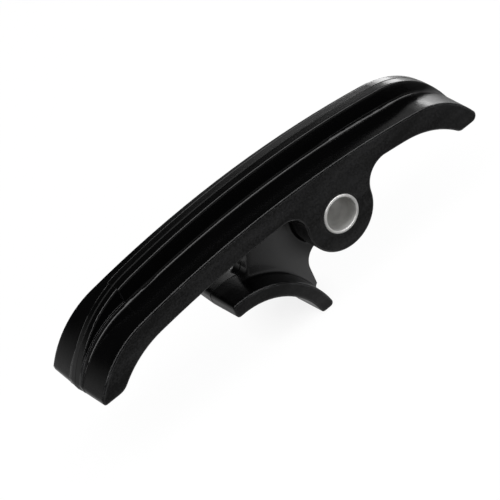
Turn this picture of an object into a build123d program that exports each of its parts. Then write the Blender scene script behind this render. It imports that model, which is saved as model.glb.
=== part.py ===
from build123d import *
import math
import os

# All sizes in millimetres. The origin is the middle of the bolt axis, +X runs along
# the shoe, +Y across it and +Z out of the running face.

# Running shoe, three arcs joined end to end along its floor
shoe_width = 27.8
draft = 2.0
floor_apex_x = -21.0
floor_apex_z = 16.5
floor_radius = 323.0
floor_left_bend = 20.3
floor_left_radius = 29.7
floor_right_angle = 10.0
floor_right_radius = 23.8

# Underside of the shoe
under_apex_z = 9.3
under_radius = 341.0
under_left_bend = 24.6
under_left_radius = 30.2
under_right_angle = 8.3
under_right_radius = 27.9
left_end_x = -88.3
left_foot_z = -1.7
right_foot_z = -3.9
left_heel_round = 5.0
left_corner_round = 0.9
left_crest_round = 0.5
right_heel_round = 2.5
right_tip_round = 1.9

# Centre rib, which tapers into the floor at both ends
rib_width = 6.2
rib_narrow_width = 4.8
rib_step_x = -66.0
rib_apex_x = -20.0
rib_apex_z = 23.1
rib_radius = 298.0
rib_left_bend = 27.3
rib_left_radius = 37.3
rib_right_angle = 9.9
rib_right_radius = 25.4
rib_run_out_z = 1.0
rib_crest_round = 0.8
rib_end_stand_out = 0.05
rib_sink = 0.7
root_overlap = 0.02
rib_root_round = 0.9
rib_top_round = 0.5
rim_chamfer = 0.45

# Bolt lug and its steel bush
bush_outer_diameter = 12.0
bush_bore_diameter = 10.2
bush_clearance = 0.05
bush_stand_out = 0.5
bush_edge_chamfer = 0.3
lug_radius = 11.8
lug_rise = 0.7
lug_left_round = 6.0
lug_right_round = 8.0
lug_rim_chamfer = 0.5

# Saddle that straddles the frame tube
saddle_inset = 2.0
saddle_centre_x = -38.6
saddle_centre_z = -30.4
saddle_inner_radius = 22.1
saddle_thickness = 4.4
saddle_left_x = -41.3
saddle_foot_z = -26.0
saddle_tip_round = 1.2
saddle_rim_chamfer = 0.4

# Web between shoe, lug and saddle
web_thickness = 8.0
web_left_top_x = -22.6
web_left_foot_x = -31.3
web_left_bow = 0.8
web_left_foot_flare = 3.5
web_right_x = -11.6
web_right_knee_z = -22.0
web_right_foot_x = -14.2
web_right_foot_z = -24.6
web_flare_z = -16.2
web_flare_radius = 6.0
web_flare_end_angle = 20.0
web_root_round = 1.0
web_top_sink = 0.05

half_width = shoe_width / 2
draft_growth = half_width * math.tan(math.radians(draft))


def polar(centre, radius, angle):
    """Point at an angle measured clockwise from straight up."""
    turn = math.radians(angle)
    return Vector(centre.X + radius * math.sin(turn), centre.Y + radius * math.cos(turn))


def bearing(centre, point):
    return math.degrees(math.atan2(point.X - centre.X, point.Y - centre.Y))


def lean(centre_x, radius, x):
    """Angle left of straight up at which an arc passes over x."""
    return math.degrees(math.asin((centre_x - x) / radius))


def arc(centre, start, end):
    radius = (start - centre).length
    middle = polar(centre, radius, (bearing(centre, start) + bearing(centre, end)) / 2)
    return ThreePointArc(start, middle, end)


class Bow:
    """Long arc with a tighter tangent arc at each end."""

    def __init__(self, apex_x, apex_z, radius, left_angle, left_radius, right_angle, right_radius):
        self.main = Vector(apex_x, apex_z - radius)
        self.left = polar(self.main, radius - left_radius, -left_angle)
        self.right = polar(self.main, radius - right_radius, right_angle)
        self.left_radius = left_radius
        self.right_radius = right_radius
        self.left_joint = polar(self.main, radius, -left_angle)
        self.right_joint = polar(self.main, radius, right_angle)

    def grown(self, growth):
        """The same bow moved outwards by a constant thickness."""
        bow = Bow(0, 0, 1, 0, 1, 0, 1)
        bow.main = self.main
        bow.left = self.left
        bow.right = self.right
        bow.left_radius = self.left_radius + growth
        bow.right_radius = self.right_radius + growth
        bow.left_joint = self.left + (self.left_joint - self.left).normalized() * bow.left_radius
        bow.right_joint = self.right + (self.right_joint - self.right).normalized() * bow.right_radius
        return bow

    def left_at_x(self, x):
        rise = math.sqrt(self.left_radius**2 - (x - self.left.X) ** 2)
        return Vector(x, self.left.Y + rise)

    def left_at_z(self, z):
        run = math.sqrt(self.left_radius**2 - (z - self.left.Y) ** 2)
        return Vector(self.left.X - run, z)

    def right_at_z(self, z):
        run = math.sqrt(self.right_radius**2 - (z - self.right.Y) ** 2)
        return Vector(self.right.X + run, z)

    def arcs(self, left_end, right_end):
        return [
            arc(self.left, left_end, self.left_joint),
            arc(self.main, self.left_joint, self.right_joint),
            arc(self.right, self.right_joint, right_end),
        ]


floor_bow = Bow(
    floor_apex_x,
    floor_apex_z,
    floor_radius,
    lean(floor_apex_x, floor_radius, left_end_x + floor_left_bend),
    floor_left_radius,
    floor_right_angle,
    floor_right_radius,
)
under_bow = Bow(
    floor_apex_x,
    under_apex_z,
    under_radius,
    lean(floor_apex_x, under_radius, left_end_x + under_left_bend),
    under_left_radius,
    under_right_angle,
    under_right_radius,
)
rib_bow = Bow(
    rib_apex_x,
    rib_apex_z,
    rib_radius,
    lean(rib_apex_x, rib_radius, left_end_x + rib_left_bend),
    rib_left_radius,
    rib_right_angle,
    rib_right_radius,
)


def near(shape, x, z):
    """Corner of a flat outline closest to a point."""
    return min(shape.vertices(), key=lambda v: math.hypot(v.X - x, v.Y - z))


def half_moulding(section, depth):
    """Drafted half, grown from its outer face to the parting plane."""
    face = Plane((0, -depth, 0), x_dir=(1, 0, 0), z_dir=(0, -1, 0)) * section
    return extrude(face, amount=-depth, taper=-draft)


def slab_section():
    """Side outline of the shoe without its lug."""
    top_left = floor_bow.left_at_x(left_end_x)
    top_right = floor_bow.right_at_z(right_foot_z)
    heel_left = under_bow.left_at_z(left_foot_z)
    heel_right = under_bow.right_at_z(right_foot_z)
    corner_left = Vector(left_end_x, left_foot_z)
    outline = floor_bow.arcs(top_left, top_right)
    outline += under_bow.arcs(heel_left, heel_right)
    outline.append(Line(top_right, heel_right))
    outline.append(Line(heel_left, corner_left))
    outline.append(Line(corner_left, top_left))
    section = make_face(outline)
    section = fillet(near(section, top_left.X, top_left.Y), left_crest_round)
    section = fillet(near(section, top_right.X, top_right.Y), right_tip_round)
    section = fillet(near(section, heel_right.X, heel_right.Y), right_heel_round)
    section = fillet(near(section, heel_left.X, heel_left.Y), left_heel_round)
    return fillet(near(section, corner_left.X, corner_left.Y), left_corner_round)


def lug_section():
    """Side outline of the lug, blended into the underside of the shoe."""
    section = slab_section() + Circle(lug_radius)
    section = fillet(near(section, -lug_radius, lug_radius / 2), lug_left_round)
    section = fillet(near(section, lug_radius, lug_radius / 2), lug_right_round)
    left_reach = lug_radius + lug_left_round
    right_reach = lug_radius + lug_right_round
    keep = Location((-left_reach, under_apex_z + lug_rise)) * Rectangle(
        left_reach + right_reach, lug_radius * 3, align=(Align.MIN, Align.MAX)
    )
    return section & keep


def rib_section(width):
    """Side outline of the centre rib at a given width, carried down into the slab."""
    growth = (half_width - width / 2) * math.tan(math.radians(draft))
    end_x = left_end_x - growth - rib_end_stand_out
    sink = Location((0, -rib_sink))
    left_end = rib_bow.left_at_x(end_x)
    right_end = rib_bow.right_at_z(rib_run_out_z)
    floor_left = floor_bow.left_at_x(end_x)
    floor_right = floor_bow.right_at_z(rib_run_out_z)
    outline = rib_bow.arcs(left_end, right_end)
    outline += [sink * part for part in floor_bow.arcs(floor_left, floor_right)]
    outline.append(Line(left_end, floor_left - Vector(0, rib_sink)))
    outline.append(Line(right_end, floor_right - Vector(0, rib_sink)))
    section = make_face(outline)
    return fillet(near(section, left_end.X, left_end.Y), rib_crest_round)


def saddle_section():
    """Side outline of the saddle, a ring cut off upright at the left and level at the right."""
    centre = Location((saddle_centre_x, saddle_centre_z))
    outer_radius = saddle_inner_radius + saddle_thickness
    ring = centre * Circle(outer_radius) - centre * Circle(saddle_inner_radius)
    keep = Location((saddle_left_x, saddle_foot_z)) * Rectangle(
        2 * outer_radius, 2 * outer_radius, align=(Align.MIN, Align.MIN)
    )
    section = ring & keep
    return fillet(section.vertices(), saddle_tip_round)


def web_section():
    """Side outline of the web, flared where it runs into the lug and the saddle."""
    left_top = Vector(web_left_top_x, under_apex_z + lug_rise)
    left_foot = Vector(web_left_foot_x, saddle_centre_z + saddle_inner_radius)
    right_foot = Vector(web_right_foot_x, web_right_foot_z)
    knee = Vector(web_right_x, web_right_knee_z)
    waist = Vector(web_right_x, web_flare_z)
    flare_centre = waist + Vector(web_flare_radius, 0)
    flare_top = polar(flare_centre, web_flare_radius, web_flare_end_angle)
    corner = Vector(flare_top.X, left_top.Y)
    outline = [
        SagittaArc(left_top, left_foot, -web_left_bow),
        Line(left_foot, right_foot),
        Line(right_foot, knee),
        Line(knee, waist),
        arc(flare_centre, waist, flare_top),
        Line(flare_top, corner),
        Line(corner, left_top),
    ]
    middle_radius = saddle_inner_radius + saddle_thickness / 2
    section = make_face(outline) - Location((saddle_centre_x, saddle_centre_z)) * Circle(middle_radius)
    section = section + saddle_section()
    return fillet(near(section, left_foot.X, saddle_centre_z + middle_radius), web_left_foot_flare)


def on_bow(bow, edge):
    """Whether an edge runs along a bow."""
    middle = Vector((edge @ 0.5).X, (edge @ 0.5).Z)
    gaps = [
        (middle - bow.main).length - (bow.left_joint - bow.main).length,
        (middle - bow.left).length - bow.left_radius,
        (middle - bow.right).length - bow.right_radius,
    ]
    return min(abs(gap) for gap in gaps) < 0.05


def flat_edges(shape, y):
    """Edges that lie wholly in the two planes at a distance y either side of the middle."""
    return ShapeList(
        edge
        for edge in shape.edges()
        if all(abs(abs((edge @ place).Y) - y) < 0.001 for place in (0, 0.3, 0.5, 0.8, 1))
    )


def running_shoe():
    half = half_moulding(slab_section(), half_width)
    half = chamfer(flat_edges(half, half_width), rim_chamfer)
    return half + mirror(half, about=Plane.XZ)


def saddle():
    depth = half_width - saddle_inset
    half = half_moulding(saddle_section(), depth)
    half = chamfer(flat_edges(half, depth), saddle_rim_chamfer)
    return half + mirror(half, about=Plane.XZ)


def lug():
    block = extrude(Plane.XZ * lug_section(), amount=half_width, both=True)
    rim = [e for e in flat_edges(block, half_width) if (e @ 0.5).Z < under_apex_z]
    return chamfer(rim, lug_rim_chamfer)


def bracket():
    """Web and saddle, blended into the lug and ended just below the shoe's lowest skin."""
    web = extrude(Plane.XZ * web_section(), amount=web_thickness / 2, both=True)
    block = lug() + web + saddle()
    web_rim = [e for e in flat_edges(block, web_thickness / 2) if (e @ 0.5).Z < under_apex_z]
    right_edge = [e for e in web_rim if (e @ 0.5).X > web_right_x - 0.7 and (e @ 0.5).Z < -lug_radius + 2]
    block = fillet([e for e in web_rim if e not in right_edge], web_root_round)
    below = Location((0, 0, under_apex_z - web_top_sink)) * Box(
        4 * saddle_inner_radius + lug_radius * 8,
        2 * shoe_width,
        4 * saddle_inner_radius,
        align=(Align.CENTER, Align.CENTER, Align.MAX),
    )
    return block & below


def straight_rib(width):
    """Rib of one width, drafted both ways and rounded along its top."""
    half = half_moulding(rib_section(width), width / 2)
    top = ShapeList(e for e in flat_edges(half, width / 2) if on_bow(rib_bow, e) and e.length > 3)
    half = fillet(top, rib_top_round)
    return half + mirror(half, about=Plane.XZ)


def centre_rib():
    """Rib that steps down to a narrower width towards its long end."""
    right_of_step = Location((rib_step_x, 0, 0)) * Box(
        2 * abs(left_end_x), shoe_width, 2 * abs(left_end_x), align=(Align.MIN, Align.CENTER, Align.CENTER)
    )
    return straight_rib(rib_narrow_width) + (straight_rib(rib_width) & right_of_step)


def rib_root():
    """Coves that blend both flanks of the rib into the floor."""
    reach = rib_width / 2 + rib_root_round
    floor_growth = (half_width - reach) * math.tan(math.radians(draft))
    level = floor_bow.grown(floor_growth + rib_root_round - root_overlap)
    end_x = left_end_x - 2
    start = level.left_at_x(end_x)
    finish = level.right_at_z(rib_run_out_z - 2)
    inner = floor_bow.grown(-rib_sink)
    band = level.arcs(start, finish)
    band += inner.arcs(inner.left_at_x(end_x), inner.right_at_z(rib_run_out_z - 2))
    band.append(Line(start, inner.left_at_x(end_x)))
    band.append(Line(finish, inner.right_at_z(rib_run_out_z - 2)))
    bar = extrude(Plane.XZ * make_face(band), amount=reach, both=True)
    bar &= extrude(Plane.XZ * rib_section(rib_width), amount=reach, both=True)
    path = Wire([Edge(part.wrapped) for part in level.arcs(start, finish)])
    for side in (-1, 1):
        track = Plane((0, side * reach, 0), x_dir=(1, 0, 0), z_dir=(0, -1, 0)) * path
        ring = Plane(track @ 0, z_dir=track % 0) * Circle(rib_root_round)
        bar -= sweep(ring, path=track)
    return bar


def guide_body():
    """One moulding: shoe, rib, lug, web and saddle, bored for the bush."""
    body = running_shoe() + lug() + bracket() + centre_rib() + rib_root()
    bore = Plane.XZ * Circle(bush_outer_diameter / 2 + bush_clearance)
    return body - extrude(bore, amount=shoe_width, both=True)


def mounting_bush():
    ring = Circle(bush_outer_diameter / 2) - Circle(bush_bore_diameter / 2)
    sleeve = extrude(Plane.XZ * ring, amount=half_width + bush_stand_out, both=True)
    return chamfer(sleeve.edges(), bush_edge_chamfer)


def single(shape):
    """The one solid in a shape."""
    return shape.solids()[0] if len(shape.solids()) == 1 else shape


os.makedirs("parts", exist_ok=True)
export_step(single(guide_body()), "parts/guide_body.step")
export_step(single(mounting_bush()), "parts/mounting_bush.step")
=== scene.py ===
import bpy
from mathutils import Matrix, Vector


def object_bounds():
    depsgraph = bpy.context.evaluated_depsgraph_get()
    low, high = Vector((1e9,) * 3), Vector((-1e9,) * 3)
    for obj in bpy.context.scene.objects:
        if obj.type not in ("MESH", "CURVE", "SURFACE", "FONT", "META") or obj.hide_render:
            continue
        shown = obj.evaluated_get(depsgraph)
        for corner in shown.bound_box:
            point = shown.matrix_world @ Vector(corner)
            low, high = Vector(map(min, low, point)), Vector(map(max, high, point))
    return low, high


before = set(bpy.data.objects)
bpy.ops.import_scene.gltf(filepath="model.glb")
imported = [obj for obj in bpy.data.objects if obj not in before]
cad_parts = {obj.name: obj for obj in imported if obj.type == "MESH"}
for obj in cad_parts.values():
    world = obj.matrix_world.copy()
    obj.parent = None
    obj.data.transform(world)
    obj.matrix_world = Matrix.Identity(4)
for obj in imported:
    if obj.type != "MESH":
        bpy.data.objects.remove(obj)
cad_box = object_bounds()

# Sizes in metres, in the frame of the part: +X along the shoe, +Y along the bolt, +Z out of the
# running face, from the middle of the bolt. The part stands on the foot of its saddle.
MM = 0.001
bolt = (0, 0, 0)
ground = cad_box[0].z

# Camera, placed where the photograph was taken from
camera_place = (-0.22791, -0.5245, 0.39506)
camera_right = (0.7498, -0.55839, -0.35497)
camera_up = (0.5919, 0.32627, 0.73702)
camera_back = (-0.29573, -0.76272, 0.57515)
sensor_width_mm = 36.0
focal_pixels = 2400
picture_pixels = 500
clip_start = 0.01
clip_end = 20

# Colours, linear
floor_white = (0.92, 0.92, 0.92, 1)
floor_grey = (0.14, 0.14, 0.14, 1)
room_dark = (0.015, 0.015, 0.015, 1)
room_white = (1, 1, 1, 1)
plastic_black = (0.0008, 0.0008, 0.00085, 1)
plastic_dust = (0.010, 0.010, 0.0103, 1)
# painted sheen: a lighter grey that stands in for the light the web's near face reflects
plastic_painted_sheen = (0.040, 0.040, 0.0404, 1)
# edge wear, and a painted highlight along every sharp edge
plastic_rubbed_and_highlit = (0.03, 0.03, 0.031, 1)
steel_bright = (0.76, 0.755, 0.74, 1)
steel_dark = (0.60, 0.595, 0.58, 1)

# Where the plastic's finish, its rounding and its painted sheen change. Each pair is where a
# change starts and where it is complete.
# Off the plane through the middle of the rib:
parting_line = (0.2 * MM, 0.35 * MM)
rib_top = (2.0 * MM, 2.4 * MM)
web_face = (4.05 * MM, 4.5 * MM)
rib_foot = (5 * MM, 6 * MM)
side_wall = (10.5 * MM, 12.5 * MM)
# From the bolt's axis:
bush_collar = (6.6 * MM, 7.0 * MM)
lug_edge = (12 * MM, 12.5 * MM)
# Along the shoe:
rib_tip = (-84 * MM, -79 * MM)
rib_step = (-66 * MM, -62 * MM)
web_width = (-30 * MM, -12 * MM)
lug_left = (-14 * MM, -12 * MM)
right_end = (36 * MM, 42 * MM)
# Height, and how far the surface faces up:
underside = (5 * MM, 9 * MM)
facing_up = (0.5, 0.8)

# Roundness that the plastic's and the steel's shading give to sharp edges
edge_rounding = 0.5 * MM
low_rounding = 0.9 * MM
rib_rounding = 0.2 * MM
# Cosine of the turn that the rounding makes where an edge starts to be worn and given a painted
# highlight, and where it is
edge_wear_and_highlight_turn = (0.995, 0.93)
least_edge_wear_and_highlight = 0.2

# Roughness
polish_roughness = (0.15, 0.22)
right_end_roughness = 0.38
rib_tip_roughness = 0.5
collar_roughness = 0.6
parting_roughness = 0.8
steel_roughness = (0.42, 0.5)

# Grain, as repeats for each metre, and how deep it is
grain_scale = 1500
grain_depth = 0.04 * MM
rub_scale = 400
flow_scale = (50, 240, 240)
flow_depth = 0.1 * MM
smear_scale = 300
rings_scale = (40, 9000, 40)
rings_depth = 0.02 * MM

# The white that the floor shows in reflections: behind the part, and a painted pool of light
# close in front of it, which the web's near face mirrors
behind_depth = (0.02, 0.30)
behind_white = 0.6
painted_pool_depth = (-0.038, -0.020)
painted_pool_white = 0.35
# The floor's own glow to the camera, less of it round the saddle's foot: a painted shadow there,
# which also lets the real shadow show more
painted_shadow_place = (-0.0207, 0, ground)
painted_shadow_edge = (0.004, 0.016)
painted_shadow_glow = 0.86
open_glow = 0.965
# The room in reflections: paler towards the horizon, by the sine of the angle above it
horizon = (0.10, 0.42)
horizon_white = 0.3

floor_half_width = 2.0
# Lamps, aimed at the bolt: place, width, height, watts, and whether reflections show them
lamps = {
    "top_box": ((0, -0.10, 0.8), 3.0, 0.45, 18, True),
    "right_panel": ((0.95, 1.0, 0.12), 0.66, 0.44, 4.5, True),
    "back_card": ((0.60, 1.04, 0.45), 0.8, 0.44, 0.5, True),
    "front_fill": ((0.30, -1.08, 0.43), 0.7, 0.55, 14, False),
}


class Shader:
    """The node tree of a material or world, with short calls for the few nodes in use."""

    def __init__(self, owner, output="OutputMaterial"):
        owner.use_nodes = True
        self.owner = owner
        self.tree = owner.node_tree
        self.tree.nodes.clear()
        self.output = self.node(output)

    def node(self, kind, **settings):
        made = self.tree.nodes.new("ShaderNode" + kind)
        for key, value in settings.items():
            setattr(made, key, value)
        return made

    def link(self, source, target):
        self.tree.links.new(source, target)

    def finished(self, surface):
        self.link(surface, self.output.inputs["Surface"])
        return self.owner

    def place(self):
        """Where the surface is, in metres in the frame."""
        return self.node("TexCoord").outputs["Object"]

    def noise(self, place, scale, detail, roughness):
        made = self.node("TexNoise")
        self.link(place, made.inputs["Vector"])
        made.inputs["Scale"].default_value = scale
        made.inputs["Detail"].default_value = detail
        made.inputs["Roughness"].default_value = roughness
        return made.outputs["Fac"]

    def stretched(self, place, scale):
        made = self.node("Mapping")
        self.link(place, made.inputs["Vector"])
        made.inputs["Scale"].default_value = scale
        return made.outputs["Vector"]

    def ranged(self, value, span, start, end):
        """From start to end while the value goes through the span."""
        made = self.node("MapRange")
        self.link(value, made.inputs["Value"])
        made.inputs["From Min"].default_value, made.inputs["From Max"].default_value = span
        made.inputs["To Min"].default_value = start
        made.inputs["To Max"].default_value = end
        return made.outputs["Result"]

    def math(self, operation, *values):
        made = self.node("Math", operation=operation)
        for socket, value in zip(made.inputs, values):
            if isinstance(value, (int, float)):
                socket.default_value = value
            else:
                self.link(value, socket)
        return made.outputs["Value"]

    def product(self, first, *others):
        for other in others:
            first = self.math("MULTIPLY", first, other)
        return first

    def largest(self, first, *others):
        for other in others:
            first = self.math("MAXIMUM", first, other)
        return first

    def mixed(self, amount, first, second):
        """The first colour where the amount is 0, the second where it is 1."""
        made = self.node("Mix", data_type="RGBA")
        self.link(amount, made.inputs["Factor"])
        for name, value in (("A", first), ("B", second)):
            if isinstance(value, tuple):
                made.inputs[name].default_value = value
            else:
                self.link(value, made.inputs[name])
        return made.outputs["Result"]

    def along(self, place, axis):
        made = self.node("SeparateXYZ")
        self.link(place, made.inputs["Vector"])
        return made.outputs[axis]

    def distance(self, place, target):
        made = self.node("VectorMath", operation="DISTANCE")
        self.link(place, made.inputs[0])
        made.inputs[1].default_value = target
        return made.outputs["Value"]

    def rounded(self, radius):
        """The surface's direction, with its sharp edges and corners rounded off."""
        made = self.node("Bevel", samples=8)
        if isinstance(radius, float):
            made.inputs["Radius"].default_value = radius
        else:
            self.link(radius, made.inputs["Radius"])
        return made.outputs["Normal"]

    def on_edges(self, rounded):
        """1 on sharp edges and corners, 0 on flat places."""
        turn = self.node("VectorMath", operation="DOT_PRODUCT")
        self.link(rounded, turn.inputs[0])
        self.link(self.node("NewGeometry").outputs["Normal"], turn.inputs[1])
        return self.ranged(turn.outputs["Value"], edge_wear_and_highlight_turn, 0.0, 1.0)

    def bump(self, height, depth, strength, under):
        made = self.node("Bump")
        self.link(height, made.inputs["Height"])
        made.inputs["Distance"].default_value = depth
        made.inputs["Strength"].default_value = strength
        self.link(under, made.inputs["Normal"])
        return made.outputs["Normal"]


def moulded_plastic():
    """Black plastic: polished where the chain runs, mottled elsewhere, rubbed and with a painted
    highlight on its edges, and a painted sheen on the web's near face.
    """
    s = Shader(bpy.data.materials.new("moulded_plastic"))
    place = s.place()
    grain = s.noise(place, grain_scale, 2.0, 0.6)
    flow = s.noise(s.stretched(place, flow_scale), 1.0, 3.0, 0.55)
    rub = s.noise(place, rub_scale, 3.0, 0.6)

    along_shoe = s.along(place, "X")
    off_middle = s.math("ABSOLUTE", s.along(place, "Y"))
    from_bolt = s.distance(s.stretched(place, (1, 0, 1)), bolt)
    below = s.ranged(s.along(place, "Z"), underside, 1.0, 0.0)
    facing = s.node("NewGeometry").outputs["Normal"]
    upright = s.ranged(s.along(facing, "Z"), facing_up, 1.0, 0.0)

    left_of_lug = s.ranged(along_shoe, lug_left, 1.0, 0.0)
    low = s.product(below, left_of_lug, low_rounding)
    rib = s.ranged(along_shoe, rib_step, rib_rounding, edge_rounding)
    beside_rib = s.ranged(off_middle, rib_foot, 0.0, edge_rounding)
    corners = s.rounded(s.largest(low, rib, beside_rib))

    unpolished = s.product(upright, s.ranged(off_middle, side_wall, 0.0, 1.0))
    cloudy = s.ranged(s.math("ADD", grain, flow), (0.85, 1.25), 0.0, 1.0)
    dusty = s.mixed(s.product(cloudy, unpolished), plastic_black, plastic_dust)
    on_web = s.ranged(off_middle, web_face, 1.0, 0.0)
    off_lug = s.ranged(from_bolt, lug_edge, 0.0, 1.0)
    rightward = s.ranged(along_shoe, web_width, 0.1, 1.0)
    # painted sheen on the web's near face, lighter towards its lower right, mixed over the dust
    dust_and_painted_sheen = s.mixed(s.product(on_web, below, off_lug, rightward), dusty, plastic_painted_sheen)
    # edge wear and painted highlight: every sharp edge lighter, at least a little, more where the
    # rub noise is high
    worn_and_highlit = s.product(s.on_edges(corners), s.ranged(rub, (0.35, 0.65), least_edge_wear_and_highlight, 1.0))

    gloss = s.ranged(flow, (0.3, 0.7), *polish_roughness)
    seam = s.ranged(off_middle, parting_line, parting_roughness, 0.0)
    collar = s.ranged(from_bolt, bush_collar, collar_roughness, 0.0)
    on_rib = s.ranged(off_middle, rib_top, rib_tip_roughness, 0.0)
    tip = s.product(on_rib, s.ranged(along_shoe, rib_tip, 1.0, 0.0))
    run_out = s.ranged(along_shoe, right_end, 0.0, right_end_roughness)

    skin = s.node("BsdfPrincipled")
    s.link(s.mixed(worn_and_highlit, dust_and_painted_sheen, plastic_rubbed_and_highlit), skin.inputs["Base Color"])
    s.link(s.largest(gloss, seam, collar, tip, run_out), skin.inputs["Roughness"])
    skin.inputs["Specular IOR Level"].default_value = 0.4
    fine = s.bump(grain, grain_depth, 0.4, corners)
    s.link(s.bump(flow, flow_depth, 0.2, fine), skin.inputs["Normal"])
    return s.finished(skin.outputs["BSDF"])


def turned_steel():
    """Bright steel with fine rings left by the lathe."""
    s = Shader(bpy.data.materials.new("bush_steel"))
    place = s.place()
    rings = s.noise(s.stretched(place, rings_scale), 1.0, 2.0, 0.6)
    smear = s.noise(place, smear_scale, 2.0, 0.5)
    smeared = s.ranged(smear, (0.35, 0.7), 0.0, 1.0)
    skin = s.node("BsdfPrincipled")
    s.link(s.mixed(smeared, steel_bright, steel_dark), skin.inputs["Base Color"])
    s.link(s.ranged(smear, (0.3, 0.7), *steel_roughness), skin.inputs["Roughness"])
    skin.inputs["Metallic"].default_value = 0.7
    turned = s.bump(rings, rings_depth, 0.3, s.rounded(edge_rounding))
    s.link(turned, skin.inputs["Normal"])
    return s.finished(skin.outputs["BSDF"])


def pale_floor():
    """White to the camera with a faint shadow, painted darker round the saddle's foot; in
    reflections white behind, with a painted pool of light close in front.
    """
    s = Shader(bpy.data.materials.new("pale_floor"))
    place = s.place()
    rays = s.node("LightPath")
    seen = rays.outputs["Is Camera Ray"]
    depth = s.along(place, "Y")
    behind = s.ranged(depth, behind_depth, 0.0, behind_white)
    # painted pool of light on the floor close in front of the part, seen only in reflections
    painted_pool = s.ranged(depth, painted_pool_depth, 0.0, painted_pool_white)
    mirrored = s.product(rays.outputs["Is Glossy Ray"], s.largest(behind, painted_pool))
    # painted shadow: less of the floor's glow round the saddle's foot
    glow = s.ranged(s.distance(place, painted_shadow_place), painted_shadow_edge, painted_shadow_glow, open_glow)
    matte = s.node("BsdfDiffuse")
    s.link(s.mixed(seen, floor_grey, floor_white), matte.inputs["Color"])
    white = s.node("Emission")
    white.inputs["Strength"].default_value = 1.0
    blend = s.node("MixShader")
    s.link(s.math("ADD", s.product(seen, glow), mirrored), blend.inputs["Fac"])
    s.link(matte.outputs["BSDF"], blend.inputs[1])
    s.link(white.outputs["Emission"], blend.inputs[2])
    return s.finished(blend.outputs["Shader"])


def room():
    """White to the camera; in reflections pale near the horizon and dark above."""
    s = Shader(bpy.data.worlds.new("studio"), "OutputWorld")
    rays = s.node("LightPath")
    above = s.along(s.node("TexCoord").outputs["Generated"], "Z")
    backdrop = s.ranged(above, horizon, horizon_white, 0.0)
    mirrored = s.product(rays.outputs["Is Glossy Ray"], backdrop)
    shown = s.largest(rays.outputs["Is Camera Ray"], mirrored)
    light = s.node("Background")
    s.link(s.mixed(shown, room_dark, room_white), light.inputs["Color"])
    return s.finished(light.outputs["Background"])


def place_object(name, data):
    made = bpy.data.objects.new(name, data)
    bpy.context.scene.collection.objects.link(made)
    return made


def floor():
    half = floor_half_width
    corners = [(-half, -half), (half, -half), (half, half), (-half, half)]
    mesh = bpy.data.meshes.new("floor")
    mesh.from_pydata([(x, y, ground) for x, y in corners], [], [(0, 1, 2, 3)])
    made = place_object("floor", mesh)
    made.data.materials.append(pale_floor())


def soft_box(name, place, width, height, power, mirrored):
    """A rectangular lamp aimed at the bolt, hidden from the camera."""
    data = bpy.data.lights.new(name, "AREA")
    data.shape = "RECTANGLE"
    data.size = width
    data.size_y = height
    data.energy = power
    made = place_object(name, data)
    made.location = place
    made.rotation_mode = "QUATERNION"
    made.rotation_quaternion = (Vector(place) - Vector(bolt)).to_track_quat("Z", "Y")
    made.visible_camera = False
    made.visible_glossy = mirrored


def camera():
    data = bpy.data.cameras.new("camera")
    data.sensor_width = sensor_width_mm
    data.lens = sensor_width_mm * focal_pixels / picture_pixels
    data.clip_start = clip_start
    data.clip_end = clip_end
    made = place_object("camera", data)
    columns = [Vector(camera_right), Vector(camera_up), Vector(camera_back)]
    turn = Matrix(columns).transposed()
    made.matrix_world = Matrix.Translation(camera_place) @ turn.to_4x4()
    bpy.context.scene.camera = made


def dress(node, material):
    """Gives a piece of the frame its finish."""
    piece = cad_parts[node]
    for slot in piece.material_slots:
        slot.material = material


camera()
floor()
bpy.context.scene.world = room()
for name, settings in lamps.items():
    soft_box(name, *settings)
dress("guide_body", moulded_plastic())
dress("mounting_bush", turned_steel())
bpy.context.scene.view_settings.view_transform = "Standard"
